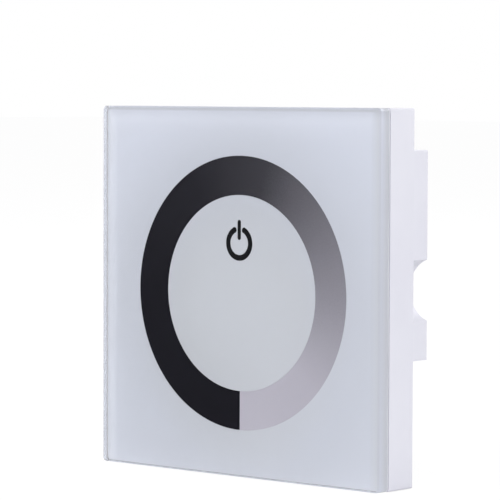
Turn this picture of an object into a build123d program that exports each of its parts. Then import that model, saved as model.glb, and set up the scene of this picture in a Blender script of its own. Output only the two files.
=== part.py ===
from build123d import *
from math import cos, radians, sin
import os

# Touch panel dimmer for a wall box with screws 60 mm apart.
# Millimetres. The origin is the middle of the plate on the wall plane.
# +X is to the right as the panel is seen from the room, +Y runs into the wall and +Z is up.

# Panel
panel_width = 86.0
panel_height = 86.0
projection = 12.3
wall_clearance = 0.2
glass_thickness = 3.2
glass_corner_radius = 1.0
front_arris = 0.35
back_arris = 0.15
bond_thickness = 0.05
film_thickness = 0.25
film_inset = 0.15
tape_thickness = 0.2
tape_inset = 0.4

# Prints behind the glass
print_thickness = 0.1
print_clearance = 0.02
dial_height = -0.3
dial_outer_radius = 32.0
dial_inner_radius = 22.85
symbol_offset = -0.35
symbol_height_above_dial = 11.6
symbol_radius = 3.4
symbol_stroke = 1.37
symbol_gap_angle = 52.0
bar_width = 1.05
bar_bottom = 0.75
bar_top = 5.48

# Front frame
skirt_wall = 2.0
skirt_corner_radius = 0.4
skirt_edge_radius = 0.15
ledge_thickness = 1.2
ledge_width = 3.0
rib_width = 6.0
rib_reach = 1.2
rib_spacing = 44.0
rib_end_clearance = 0.8
pry_width = 8.0
pry_depth = 1.5

# Touch board
touch_board_thickness = 1.2
touch_board_margin = 3.0
touch_board_fit = 0.2
touch_board_radius = 1.5
electrode_thickness = 0.08
electrode_inset = 0.5
electrode_gap = 0.8
electrode_count = 8
symbol_pad_width = 11.0
symbol_pad_height = 13.0
symbol_pad_radius = 2.0
touch_chip_height_above_centre = 6.0
touch_resistor_circle = 17.5
touch_capacitor_spacing = 16.0

# Plug and socket between the boards
pin_count = 6
pin_pitch = 2.54
pin_side = 0.64
pin_reach = 6.0
pin_inset = 0.1
header_height = -12.0
header_strip_thickness = 2.5
header_strip_width = 2.5
socket_thickness = 8.5
socket_width = 2.6
socket_gap = 0.3
socket_window_clearance = 0.5
cavity_width = 0.8
cavity_height = 1.3
contact_width = 0.6
contact_leaf = 0.19
contact_clearance = 0.04
contact_base = 0.5
contact_mouth = 0.9
tail_side = 0.5
tail_length = 1.2

# Mounting plate
plate_thickness = 2.0
plate_clearance = 0.3
plate_rim_wall = 2.4
plate_rim_height = 2.6
plate_corner_radius = 2.0
housing_seat = 0.8
seat_clearance = 0.15
wall_screw_spacing = 60.0
slot_half_width = 2.2
slot_length = 7.0

# Rear housing
housing_width = 55.0
housing_height = 66.0
housing_depth = 24.7
housing_wall = 1.6
housing_corner_radius = 0.4
housing_back_radius = 0.2
bite_radius = 7.6
step_height = -16.5
shelf_gap = 0.4
boss_radius = 2.9
boss_bite = 0.4
boss_floor = 0.5
rest_pad_side = 4.0
rest_pad_spacing = 44.0
mark_length = 2.0
mark_width = 0.5
mark_relief = 0.3

# Screws of the housing and the power board
screw_radius = 1.3
screw_head_radius = 2.2
screw_head_height = 1.6
screw_length = 6.0
screw_hole_clearance = 0.2
thread_clearance = 0.05
recess_width = 0.5
recess_length = 2.6
recess_depth = 0.9

# Power board
power_board_thickness = 1.6
power_board_clearance = 0.3
lead_hole_clearance = 0.2
upper_board_screw_height = 20.0
capacitor_side_distance = 13.9
transistor_side_distance = 9.4
diode_side_distance = 10.4
regulator_side_distance = 10.9
capacitor_radius = 5.0
capacitor_end_gap = 1.0
capacitor_edge = 0.6
capacitor_groove = 0.3
capacitor_groove_height = 1.6
capacitor_groove_width = 1.0
capacitor_vent_width = 0.4
capacitor_vent_depth = 0.15
capacitor_lead_radius = 0.3
capacitor_lead_spacing = 5.0
inductor_side = 12.0
inductor_height = 7.0
inductor_chamfer = 2.2
inductor_core_radius = 4.2
inductor_groove = 0.5

# Screw terminals
pole_count = 2
pole_pitch = 5.08
block_boss_gap = 3.12
block_depth = 8.0
block_height = 12.0
block_end_wall = 0.3
block_clearance = 0.3
wire_space = 5.0
entry_wall = 1.2
entry_width = 3.6
cage_width = 3.9
cage_length = 4.3
cage_side_wall = 0.5
cage_top_wall = 1.2
cage_floor = 0.8
cage_clearance = 0.15
clamp_pitch = 0.45
clamp_turns = 4
clamp_gap = 0.1
bar_height = 4.9
bar_thickness = 0.6
contact_bar_width = 2.0
leg_width = 1.0
leg_setback = 0.3
leg_tail = 1.5
clamp_screw_radius = 1.25
clamp_head_radius = 1.95
clamp_head_height = 1.5
clamp_head_sink = 0.4
clamp_ledge = 0.8
clamp_fit = 0.05
head_well_clearance = 0.2
driver_slot_width = 0.7
driver_slot_depth = 0.8

# Depths along Y, from the room to the wall box
skirt_back = -wall_clearance
glass_front = skirt_back - projection
glass_back = glass_front + glass_thickness
film_front = glass_back + bond_thickness
film_back = film_front + film_thickness
frame_front = film_back + tape_thickness
touch_board_back = frame_front + touch_board_thickness
ledge_back = touch_board_back + ledge_thickness
plate_front = -plate_thickness
rim_front = plate_front - plate_rim_height
housing_front = -housing_seat
socket_front = touch_board_back + header_strip_thickness + socket_gap
power_board_front = socket_front + socket_thickness
power_board_back = power_board_front + power_board_thickness
shelf_front = power_board_back + shelf_gap
shelf_back = shelf_front + housing_wall
back_wall_front = housing_depth - housing_wall

# Sizes that follow from the driving dimensions
skirt_inner_width = panel_width - 2 * skirt_wall
skirt_inner_height = panel_height - 2 * skirt_wall
symbol_height = dial_height + symbol_height_above_dial
touch_board_side = 2 * (dial_outer_radius + touch_board_margin)
pocket_side = touch_board_side + 2 * touch_board_fit
window_side = touch_board_side - 2 * ledge_width
plate_width = skirt_inner_width - 2 * plate_clearance
plate_height = skirt_inner_height - 2 * plate_clearance
inner_width = housing_width - 2 * housing_wall
inner_height = housing_height - 2 * housing_wall
header_length = pin_count * pin_pitch
boss_x = inner_width / 2 - boss_radius + boss_bite
boss_z = inner_height / 2 - boss_radius + boss_bite
lower_board_screw_height = step_height + housing_wall + boss_radius - boss_bite
board_screw_places = [(-boss_x, upper_board_screw_height), (boss_x, lower_board_screw_height)]
screw_hole_radius = screw_radius + screw_hole_clearance
capacitor_height = back_wall_front - capacitor_end_gap - power_board_back

# Places of the parts on the power board, as X and Z; the outer ones keep to the housing's sides
capacitor_x = capacitor_side_distance - inner_width / 2
capacitor_places = [(capacitor_x, 6.5), (capacitor_x, -4.5)]
inductor_place = (4.0, 0.0)
transistor_x = inner_width / 2 - transistor_side_distance
transistor_places = [(transistor_x, 13.5), (transistor_x, 23.5)]
diode_place = (diode_side_distance - inner_width / 2, 24.0)
regulator_place = (inner_width / 2 - regulator_side_distance, -9.6)
microcontroller_place = (2.0, 16.5)
board_capacitor_places = [(0.5, 9.0), (4.5, 9.0), (-5.5, 24.5), (5.5, -8.2), (5.5, -10.2)]
board_resistor_places = [(-1.5, 24.5), (2.5, 24.5), (6.5, 24.5), (-0.5, -8.5), (2.8, -8.5), (8.0, 9.0)]

# Heights of the screw terminals above the power board
clamp_travel = clamp_pitch * clamp_turns
clamp_head_bottom = block_height - clamp_head_sink - clamp_head_height
ledge_top = clamp_head_bottom - clamp_fit
chamber_top = ledge_top - clamp_ledge
cage_top = chamber_top - clamp_gap
cage_bottom = bar_height - clamp_gap - cage_floor
chamber_floor = cage_bottom - clamp_travel - clamp_gap
clamp_screw_tip = bar_height + bar_thickness + clamp_gap
block_width = pole_count * pole_pitch + 2 * block_end_wall
block_z = -housing_height / 2 + wire_space + block_depth / 2
chamber_length = cage_length + 2 * cage_clearance
chamber_width = cage_width + 2 * cage_clearance
pole_z = block_z - block_depth / 2 + entry_wall + chamber_length / 2
mark_z = block_z - block_depth / 2 - wire_space / 2
leg_z = pole_z + chamber_length / 2 + leg_setback + bar_thickness / 2
block_x = boss_x - boss_radius - block_boss_gap - block_width / 2
block_places = {"input": -block_x, "output": block_x}
pole_offsets = [(i - (pole_count - 1) / 2) * pole_pitch for i in range(pole_count)]
pole_places = [x + offset for x in block_places.values() for offset in pole_offsets]

to_wall = (Align.CENTER, Align.CENTER, Align.MAX)
to_room = (Align.CENTER, Align.CENTER, Align.MIN)


def at_depth(y):
    """Plane parallel to the wall at depth y, facing the room: a positive extrusion runs to the room."""
    return Plane.XZ.offset(-y)


def gull_wing_package(length, width, height, legs, pitch, reach):
    """Moulded chip on the current plane, with bent legs on its two long sides."""
    leg_thickness = 0.15
    leg_breadth = 0.4
    foot = 0.7
    Box(length, width, height, align=to_wall)
    for side in (-1, 1):
        foot_y = side * (width / 2 + reach - foot / 2)
        knee_y = side * (width / 2 + reach - foot)
        with GridLocations(pitch, 1, legs, 1):
            with Locations((0, foot_y, 0)):
                Box(leg_breadth, foot, leg_thickness, align=to_wall)
            with Locations((0, knee_y, 0)):
                Box(leg_breadth, leg_thickness, height / 2, align=to_wall)
            with Locations((0, (knee_y + side * width / 2) / 2, -height / 2 + leg_thickness)):
                Box(leg_breadth, abs(knee_y) - width / 2 + leg_thickness, leg_thickness, align=to_wall)


def tab_package(length, width, height, tab_width, tab_reach, legs, leg_pitch, leg_reach):
    """Moulded power package on the current plane, with a metal tab above and legs below."""
    metal = 0.5
    leg_breadth = 0.8
    Box(length, width, height, align=to_wall)
    with Locations((0, (width + tab_reach) / 2, 0)):
        Box(tab_width, tab_reach, metal, align=to_wall)
    with GridLocations(leg_pitch, 1, legs, 1):
        with Locations((0, -(width + leg_reach) / 2, 0)):
            Box(leg_breadth, leg_reach, metal, align=to_wall)


def self_tapping_screw():
    """Pan-head screw whose head stands on the current plane and whose shank runs to the wall."""
    head = Cylinder(screw_head_radius, screw_head_height, align=to_room)
    fillet(head.edges().filter_by(GeomType.CIRCLE).group_by(Axis.Y)[0], screw_head_height / 3)
    Cylinder(screw_radius, screw_length, align=to_wall)
    with Locations((0, 0, screw_head_height)):
        Box(recess_length, recess_width, 2 * recess_depth, mode=Mode.SUBTRACT)
        Box(recess_width, recess_length, 2 * recess_depth, mode=Mode.SUBTRACT)


def housing_outline(width, height, bite, bottom=None):
    """Housing outline on the current sketch plane, with its side bites and cut off below bottom."""
    RectangleRounded(width, height, housing_corner_radius)
    with Locations((-wall_screw_spacing / 2, 0), (wall_screw_spacing / 2, 0)):
        Circle(bite, mode=Mode.SUBTRACT)
    if bottom is not None:
        with Locations((0, bottom)):
            Rectangle(2 * width, height, align=(Align.CENTER, Align.MAX), mode=Mode.SUBTRACT)


def dial_ring_face(clearance):
    """Ring of the dial on the current sketch plane, drawn in by a clearance on both edges."""
    with Locations((0, dial_height)):
        Circle(dial_outer_radius - clearance)
        Circle(dial_inner_radius + clearance, mode=Mode.SUBTRACT)


def power_symbol_face(clearance):
    """Broken circle and upright bar on the current sketch plane, drawn in by a clearance."""
    half_stroke = symbol_stroke / 2 - clearance
    end_x = symbol_radius * sin(radians(symbol_gap_angle / 2))
    end_z = symbol_radius * cos(radians(symbol_gap_angle / 2))
    with Locations((symbol_offset, symbol_height)):
        Circle(symbol_radius + half_stroke)
        Circle(symbol_radius - half_stroke, mode=Mode.SUBTRACT)
        with Locations((0, symbol_radius)):
            Rectangle(2 * end_x, 2 * symbol_stroke, mode=Mode.SUBTRACT)
        with Locations((-end_x, end_z), (end_x, end_z)):
            Circle(half_stroke)
        with Locations((0, (bar_bottom + bar_top) / 2)):
            SlotOverall(bar_top - bar_bottom - 2 * clearance, bar_width - 2 * clearance, rotation=90)


# Glass panel with ground arrises
with BuildPart() as glass_panel:
    with BuildSketch(at_depth(glass_back)):
        RectangleRounded(panel_width, panel_height, glass_corner_radius)
    extrude(amount=glass_thickness)
    chamfer(glass_panel.faces().sort_by(Axis.Y)[0].edges(), front_arris)
    chamfer(glass_panel.faces().sort_by(Axis.Y)[-1].edges(), back_arris)
glass_panel.part.label = "glass_panel"

# White layer behind the glass, with the shapes of the two prints left out of its front
with BuildPart() as white_backing_film:
    with BuildSketch(at_depth(film_back)):
        RectangleRounded(panel_width - 2 * film_inset, panel_height - 2 * film_inset, glass_corner_radius)
    extrude(amount=film_thickness)
    with BuildSketch(at_depth(film_front + print_thickness)):
        dial_ring_face(0)
        power_symbol_face(0)
    extrude(amount=print_thickness, mode=Mode.SUBTRACT)
white_backing_film.part.label = "white_backing_film"

with BuildPart() as dial_ring_print:
    with BuildSketch(at_depth(film_front + print_thickness)):
        dial_ring_face(print_clearance)
    extrude(amount=print_thickness)
dial_ring_print.part.label = "dial_ring_print"

# The broken circle and the bar are two solids of one print
with BuildPart() as power_symbol_print:
    with BuildSketch(at_depth(film_front + print_thickness)):
        power_symbol_face(print_clearance)
    extrude(amount=print_thickness)
power_symbol_print.part.label = "power_symbol_print"

with BuildPart() as adhesive_tape:
    with BuildSketch(at_depth(frame_front)):
        Rectangle(panel_width - 2 * tape_inset, panel_height - 2 * tape_inset)
        Rectangle(pocket_side, pocket_side, mode=Mode.SUBTRACT)
    extrude(amount=tape_thickness)
adhesive_tape.part.label = "adhesive_tape"

# Front frame: a deep skirt, a front web that the glass is bonded to and a stepped window for the touch board
with BuildPart() as front_frame:
    with BuildSketch(at_depth(skirt_back)):
        RectangleRounded(panel_width, panel_height, skirt_corner_radius)
    extrude(amount=skirt_back - frame_front)
    with BuildSketch(at_depth(skirt_back)):
        Rectangle(skirt_inner_width, skirt_inner_height)
    extrude(amount=skirt_back - ledge_back, mode=Mode.SUBTRACT)
    with BuildSketch(at_depth(touch_board_back)):
        Rectangle(pocket_side, pocket_side)
    extrude(amount=touch_board_thickness, mode=Mode.SUBTRACT)
    with BuildSketch(at_depth(ledge_back)):
        Rectangle(window_side, window_side)
    extrude(amount=ledge_thickness, mode=Mode.SUBTRACT)
    fillet(front_frame.faces().sort_by(Axis.Y)[-1].outer_wire().edges(), skirt_edge_radius)
    # Clip ribs at the top and the bottom run in the slots of the mounting plate
    with BuildSketch(at_depth(skirt_back - rib_end_clearance)):
        with GridLocations(rib_spacing, skirt_inner_height, 2, 2):
            Rectangle(rib_width, 2 * rib_reach)
    extrude(amount=skirt_back - rib_end_clearance - ledge_back)
    # Notch for a screwdriver in the lower edge
    with BuildSketch(at_depth(skirt_back)):
        with Locations((0, -panel_height / 2)):
            Rectangle(pry_width, 3 * skirt_wall)
    extrude(amount=pry_depth, mode=Mode.SUBTRACT)
front_frame.part.label = "front_frame"

with BuildPart() as touch_board:
    with BuildSketch(at_depth(touch_board_back)):
        RectangleRounded(touch_board_side, touch_board_side, touch_board_radius)
        with Locations((0, header_height)):
            with GridLocations(pin_pitch, 1, pin_count, 1):
                Rectangle(pin_side, pin_side, mode=Mode.SUBTRACT)
    extrude(amount=touch_board_thickness)
touch_board.part.label = "touch_board"

# Eight pads under the dial and one under the power symbol
with BuildPart() as touch_electrodes:
    with BuildSketch(at_depth(frame_front)):
        dial_ring_face(electrode_inset)
        with Locations((0, dial_height)):
            with PolarLocations(0, electrode_count // 2, angular_range=180):
                Rectangle(2 * dial_outer_radius, electrode_gap, mode=Mode.SUBTRACT)
        with Locations((0, symbol_height)):
            RectangleRounded(symbol_pad_width, symbol_pad_height, symbol_pad_radius)
    extrude(amount=electrode_thickness)
touch_electrodes.part.label = "touch_electrodes"

with BuildPart(at_depth(touch_board_back)) as touch_controller:
    with Locations((0, touch_chip_height_above_centre)):
        gull_wing_package(length=9.9, width=3.9, height=1.5, legs=8, pitch=1.27, reach=1.05)
touch_controller.part.label = "touch_controller"

with BuildPart(at_depth(touch_board_back)) as touch_board_resistors:
    with PolarLocations(touch_resistor_circle, electrode_count, start_angle=180 / electrode_count):
        Box(1.6, 0.8, 0.5, align=to_wall)
touch_board_resistors.part.label = "touch_board_resistors"

with BuildPart(at_depth(touch_board_back)) as touch_board_capacitors:
    with Locations((0, touch_chip_height_above_centre)):
        with GridLocations(touch_capacitor_spacing, 3.5, 2, 2):
            Box(2.0, 1.25, 0.9, align=to_wall)
touch_board_capacitors.part.label = "touch_board_capacitors"

with BuildPart(at_depth(touch_board_back)) as pin_header:
    with Locations((0, header_height)):
        Box(header_length, header_strip_width, header_strip_thickness, align=to_wall)
        with GridLocations(pin_pitch, 1, pin_count, 1):
            Box(pin_side, pin_side, header_strip_thickness, align=to_wall, mode=Mode.SUBTRACT)
pin_header.part.label = "pin_header"

pin_length = touch_board_thickness - pin_inset + header_strip_thickness + pin_reach
with BuildPart(at_depth(frame_front + pin_inset)) as header_pins:
    with Locations((0, header_height)):
        with GridLocations(pin_pitch, 1, pin_count, 1):
            Box(pin_side, pin_side, pin_length, align=to_wall)
header_pins.part.label = "header_pins"

# Mounting plate: a rimmed tray inside the skirt, with a shallow seat at the back for the rear housing
with BuildPart() as mounting_plate:
    with BuildSketch(at_depth(0)):
        RectangleRounded(plate_width, plate_height, plate_corner_radius)
    extrude(amount=-rim_front)
    with BuildSketch(at_depth(plate_front)):
        Rectangle(plate_width - 2 * plate_rim_wall, plate_height - 2 * plate_rim_wall)
    extrude(amount=plate_rim_height, mode=Mode.SUBTRACT)
    with BuildSketch(at_depth(0)):
        seat_width = housing_width + 2 * seat_clearance
        seat_height = housing_height + 2 * seat_clearance
        housing_outline(seat_width, seat_height, bite_radius - seat_clearance)
    extrude(amount=housing_seat, mode=Mode.SUBTRACT)
    with BuildSketch(at_depth(0)):
        with Locations((-wall_screw_spacing / 2, 0), (wall_screw_spacing / 2, 0)):
            SlotOverall(slot_length, 2 * slot_half_width)
        with GridLocations(2 * boss_x, 2 * boss_z, 2, 2):
            Circle(screw_hole_radius)
        with Locations((0, header_height)):
            window_length = header_length + 2 * socket_window_clearance
            Rectangle(window_length, socket_width + 2 * socket_window_clearance)
    extrude(amount=plate_thickness, mode=Mode.SUBTRACT)
    with BuildSketch(at_depth(0)):
        with GridLocations(rib_spacing, plate_height, 2, 2):
            Rectangle(rib_width + 2 * plate_clearance, 2 * rib_reach)
    extrude(amount=-rim_front, mode=Mode.SUBTRACT)
mounting_plate.part.label = "mounting_plate"

# Rear housing: deep above the step, shallow below it where the screw terminals stand
with BuildPart() as rear_housing:
    with BuildSketch(at_depth(housing_depth)):
        housing_outline(housing_width, housing_height, bite_radius, bottom=step_height)
    extrude(amount=housing_depth - shelf_back)
    with BuildSketch(at_depth(shelf_back)):
        housing_outline(housing_width, housing_height, bite_radius)
    extrude(amount=shelf_back - housing_front)
    fillet(rear_housing.faces().sort_by(Axis.Y)[-1].edges(), housing_back_radius)
    with BuildSketch(at_depth(back_wall_front)):
        housing_outline(inner_width, inner_height, bite_radius + housing_wall, bottom=step_height + housing_wall)
    extrude(amount=back_wall_front - shelf_front, mode=Mode.SUBTRACT)
    with BuildSketch(at_depth(shelf_front)):
        housing_outline(inner_width, inner_height, bite_radius + housing_wall)
    extrude(amount=shelf_front - housing_front, mode=Mode.SUBTRACT)
    # Corner bosses for the screws that come through the mounting plate
    with BuildSketch(at_depth(shelf_back)):
        with GridLocations(2 * boss_x, 2 * boss_z, 2, 2):
            Circle(boss_radius)
    extrude(amount=shelf_back - housing_front)
    # Bosses that carry the power board, and two pads on the shelf
    with BuildSketch(at_depth(back_wall_front)):
        with Locations(*board_screw_places):
            Circle(boss_radius)
    extrude(amount=back_wall_front - power_board_back)
    with BuildSketch(at_depth(shelf_front)):
        with Locations((0, block_z)):
            with GridLocations(rest_pad_spacing, 1, 2, 1):
                Rectangle(rest_pad_side, rest_pad_side)
    extrude(amount=shelf_front - power_board_back)
    with BuildSketch(at_depth(shelf_back)):
        with Locations(*[(x, block_z) for x in block_places.values()]):
            Rectangle(block_width + 2 * block_clearance, block_depth + 2 * block_clearance)
    extrude(amount=housing_wall, mode=Mode.SUBTRACT)
    # Raised plus and minus marks beside the poles
    with BuildSketch(at_depth(shelf_back)):
        for number, x in enumerate(pole_places):
            with Locations((x, mark_z)):
                Rectangle(mark_length, mark_width)
                if number % pole_count == 0:
                    Rectangle(mark_width, mark_length)
    extrude(amount=-mark_relief)
    # Pilot holes, a little deeper than the screws reach
    with BuildSketch(at_depth(plate_front + screw_length + boss_floor)):
        with GridLocations(2 * boss_x, 2 * boss_z, 2, 2):
            Circle(screw_radius + thread_clearance)
    extrude(amount=plate_front + screw_length + boss_floor - housing_front, mode=Mode.SUBTRACT)
    with BuildSketch(at_depth(power_board_front + screw_length + boss_floor)):
        with Locations(*board_screw_places):
            Circle(screw_radius + thread_clearance)
    extrude(amount=screw_length + boss_floor - power_board_thickness, mode=Mode.SUBTRACT)
rear_housing.part.label = "rear_housing"

# Power board, clear of the bites and the corner bosses
with BuildPart() as power_board:
    with BuildSketch(at_depth(power_board_back)):
        board_width = inner_width - 2 * power_board_clearance
        board_height = inner_height - 2 * power_board_clearance
        housing_outline(board_width, board_height, bite_radius + housing_wall + power_board_clearance)
        with GridLocations(2 * boss_x, 2 * boss_z, 2, 2):
            Circle(boss_radius + power_board_clearance, mode=Mode.SUBTRACT)
        with Locations(*board_screw_places):
            Circle(screw_hole_radius, mode=Mode.SUBTRACT)
        with Locations((0, header_height)):
            with GridLocations(pin_pitch, 1, pin_count, 1):
                Circle(tail_side / 2 + lead_hole_clearance, mode=Mode.SUBTRACT)
        with Locations(*[(x, leg_z) for x in pole_places]):
            Circle(leg_width / 2 + lead_hole_clearance, mode=Mode.SUBTRACT)
        for place in capacitor_places:
            with Locations(place):
                with GridLocations(capacitor_lead_spacing, 1, 2, 1):
                    Circle(capacitor_lead_radius + lead_hole_clearance, mode=Mode.SUBTRACT)
    extrude(amount=power_board_thickness)
power_board.part.label = "power_board"

with BuildPart(at_depth(power_board_front)) as socket_header:
    with Locations((0, header_height)):
        Box(header_length, socket_width, socket_thickness, align=to_room)
        with GridLocations(pin_pitch, 1, pin_count, 1):
            with Locations((0, 0, contact_mouth)):
                Box(cavity_width, cavity_height, socket_thickness, align=to_room, mode=Mode.SUBTRACT)
            tail_hole = tail_side + 2 * contact_clearance
            Box(tail_hole, tail_hole, contact_mouth, align=to_room, mode=Mode.SUBTRACT)
socket_header.part.label = "socket_header"

# Each contact is a tail through the board, a base and two leaves that hold a pin between them
with BuildPart(at_depth(power_board_front)) as socket_contacts:
    leaf_shift = pin_side / 2 + contact_clearance + contact_leaf / 2
    leaf_length = socket_thickness - contact_mouth - contact_base - contact_mouth
    tail_total = power_board_thickness + tail_length + contact_mouth
    with Locations((0, header_height, contact_mouth)):
        with GridLocations(pin_pitch, 1, pin_count, 1):
            Box(contact_width, 2 * leaf_shift + contact_leaf, contact_base, align=to_room)
            Box(tail_side, tail_side, tail_total, align=to_wall)
    with Locations((0, header_height, contact_mouth + contact_base)):
        with GridLocations(pin_pitch, 2 * leaf_shift, pin_count, 2):
            Box(contact_width, contact_leaf, leaf_length, align=to_room)
socket_contacts.part.label = "socket_contacts"

# Electrolytic capacitors: a crimped can with a scored vent and two leads through the board
filter_capacitors = []
for number, place in enumerate(capacitor_places, 1):
    with BuildPart(at_depth(power_board_back)) as filter_capacitor:
        with Locations(place):
            can = Cylinder(capacitor_radius, capacitor_height, align=to_wall)
            fillet(can.edges().filter_by(GeomType.CIRCLE), capacitor_edge)
            with Locations((0, 0, -capacitor_groove_height)):
                Cylinder(2 * capacitor_radius, capacitor_groove_width, align=to_wall, mode=Mode.SUBTRACT)
                Cylinder(capacitor_radius - capacitor_groove, capacitor_groove_width, align=to_wall)
            with Locations((0, 0, -capacitor_height)):
                Box(capacitor_radius, capacitor_vent_width, 2 * capacitor_vent_depth, mode=Mode.SUBTRACT)
                Box(capacitor_vent_width, capacitor_radius, 2 * capacitor_vent_depth, mode=Mode.SUBTRACT)
            with GridLocations(capacitor_lead_spacing, 1, 2, 1):
                Cylinder(capacitor_lead_radius, power_board_thickness + tail_length, align=to_room)
    filter_capacitor.part.label = f"filter_capacitor_{number}"
    filter_capacitors.append(filter_capacitor)

with BuildPart(at_depth(power_board_back)) as power_inductor:
    with Locations(inductor_place):
        block = Box(inductor_side, inductor_side, inductor_height, align=to_wall)
        chamfer(block.edges().filter_by(Axis.Y), inductor_chamfer)
        with Locations((0, 0, -inductor_height)):
            Cylinder(inductor_core_radius + inductor_groove, 2 * inductor_groove, mode=Mode.SUBTRACT)
        with Locations((0, 0, -inductor_height + inductor_groove)):
            Cylinder(inductor_core_radius, inductor_groove, align=to_wall)
power_inductor.part.label = "power_inductor"

power_transistors = []
for number, place in enumerate(transistor_places, 1):
    with BuildPart(at_depth(power_board_back)) as power_transistor:
        with Locations(place):
            tab_package(6.5, 6.0, 2.3, tab_width=5.2, tab_reach=1.0, legs=2, leg_pitch=4.6, leg_reach=2.0)
    power_transistor.part.label = f"power_transistor_{number}"
    power_transistors.append(power_transistor)

with BuildPart(at_depth(power_board_back)) as protection_diode:
    with Locations(diode_place):
        tab_package(6.0, 7.0, 2.3, tab_width=3.0, tab_reach=0.6, legs=2, leg_pitch=2.2, leg_reach=0.6)
protection_diode.part.label = "protection_diode"

with BuildPart(at_depth(power_board_back)) as voltage_regulator:
    with Locations(regulator_place):
        tab_package(6.5, 3.5, 1.6, tab_width=3.0, tab_reach=1.7, legs=3, leg_pitch=2.3, leg_reach=1.7)
voltage_regulator.part.label = "voltage_regulator"

with BuildPart(at_depth(power_board_back)) as microcontroller:
    with Locations(microcontroller_place):
        gull_wing_package(length=12.8, width=7.5, height=2.4, legs=10, pitch=1.27, reach=1.4)
microcontroller.part.label = "microcontroller"

with BuildPart(at_depth(power_board_back)) as board_capacitors:
    with Locations(*board_capacitor_places):
        Box(2.0, 1.25, 0.9, align=to_wall)
board_capacitors.part.label = "board_capacitors"

with BuildPart(at_depth(power_board_back)) as board_resistors:
    with Locations(*board_resistor_places):
        Box(1.6, 0.8, 0.5, align=to_wall)
board_resistors.part.label = "board_resistors"

# Terminal blocks: one chamber for each pole, open to a wire from below and to a screwdriver from behind
terminal_blocks = []
for name, x in block_places.items():
    with BuildPart(at_depth(power_board_back)) as terminal_block:
        with Locations((x, block_z)):
            Box(block_width, block_depth, block_height, align=to_wall)
        for offset in pole_offsets:
            with Locations((x + offset, pole_z, -chamber_floor)):
                chamber_height = chamber_top - chamber_floor
                Box(chamber_width, chamber_length, chamber_height, align=to_wall, mode=Mode.SUBTRACT)
            with Locations((x + offset, pole_z - chamber_length / 2 - entry_wall / 2, -chamber_floor)):
                entry_height = bar_height + bar_thickness - chamber_floor
                Box(entry_width, entry_wall, entry_height, align=to_wall, mode=Mode.SUBTRACT)
            with Locations((x + offset, pole_z)):
                Cylinder(clamp_screw_radius + cage_clearance, block_height, align=to_wall, mode=Mode.SUBTRACT)
            with Locations((x + offset, pole_z, -ledge_top)):
                well_radius = clamp_head_radius + head_well_clearance
                Cylinder(well_radius, block_height, align=to_wall, mode=Mode.SUBTRACT)
            with Locations((x + offset, (pole_z + leg_z + bar_thickness) / 2)):
                slot_width = contact_bar_width + 2 * clamp_gap
                leg_slot_length = leg_z - pole_z + clamp_gap
                leg_slot_height = bar_height + bar_thickness + clamp_gap
                Box(slot_width, leg_slot_length, leg_slot_height, align=to_wall, mode=Mode.SUBTRACT)
    terminal_block.part.label = f"{name}_terminal_block"
    terminal_blocks.append(terminal_block)

# Fixed bars that the wires are clamped against, each with a leg through the board
with BuildPart(at_depth(power_board_back)) as terminal_contacts:
    for x in pole_places:
        bar_front = pole_z - cage_length / 2
        bar_back = leg_z + bar_thickness / 2
        with Locations((x, (bar_front + bar_back) / 2, -bar_height)):
            Box(contact_bar_width, bar_back - bar_front, bar_thickness, align=to_wall)
        with Locations((x, leg_z, power_board_thickness + leg_tail)):
            leg_length = power_board_thickness + leg_tail + bar_height + bar_thickness
            Box(leg_width, bar_thickness, leg_length, align=to_wall)
terminal_contacts.part.label = "terminal_contacts"

# Clamp cages, drawn up against the bars as they are when the screws are tight
clamp_cages = []
for number, x in enumerate(pole_places, 1):
    with BuildPart(at_depth(power_board_back)) as clamp_cage:
        with Locations((x, pole_z, -cage_bottom)):
            Box(cage_width, cage_length, cage_top - cage_bottom, align=to_wall)
        with Locations((x, pole_z, -cage_bottom - cage_floor)):
            cage_opening = cage_width - 2 * cage_side_wall
            cage_inner_height = cage_top - cage_bottom - cage_floor - cage_top_wall
            Box(cage_opening, cage_length, cage_inner_height, align=to_wall, mode=Mode.SUBTRACT)
        with Locations((x, pole_z, -cage_top + 2 * cage_top_wall)):
            Cylinder(clamp_screw_radius + clamp_fit, 3 * cage_top_wall, align=to_wall, mode=Mode.SUBTRACT)
    clamp_cage.part.label = f"clamp_cage_{number}"
    clamp_cages.append(clamp_cage)

terminal_screws = []
for number, x in enumerate(pole_places, 1):
    with BuildPart(at_depth(power_board_back)) as terminal_screw:
        with Locations((x, pole_z, -clamp_screw_tip)):
            shank_length = clamp_head_bottom - clamp_screw_tip + clamp_head_height / 2
            Cylinder(clamp_screw_radius, shank_length, align=to_wall)
        with Locations((x, pole_z, -clamp_head_bottom)):
            Cylinder(clamp_head_radius, clamp_head_height, align=to_wall)
        with Locations((x, pole_z, -clamp_head_bottom - clamp_head_height)):
            slot_run = 3 * clamp_head_radius
            Box(slot_run, driver_slot_width, 2 * driver_slot_depth, mode=Mode.SUBTRACT)
    terminal_screw.part.label = f"terminal_screw_{number}"
    terminal_screws.append(terminal_screw)

with BuildPart(at_depth(power_board_front)) as board_screws:
    with Locations(*board_screw_places):
        self_tapping_screw()
board_screws.part.label = "board_screws"

with BuildPart(at_depth(plate_front)) as housing_screws:
    with GridLocations(2 * boss_x, 2 * boss_z, 2, 2):
        self_tapping_screw()
housing_screws.part.label = "housing_screws"

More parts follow.
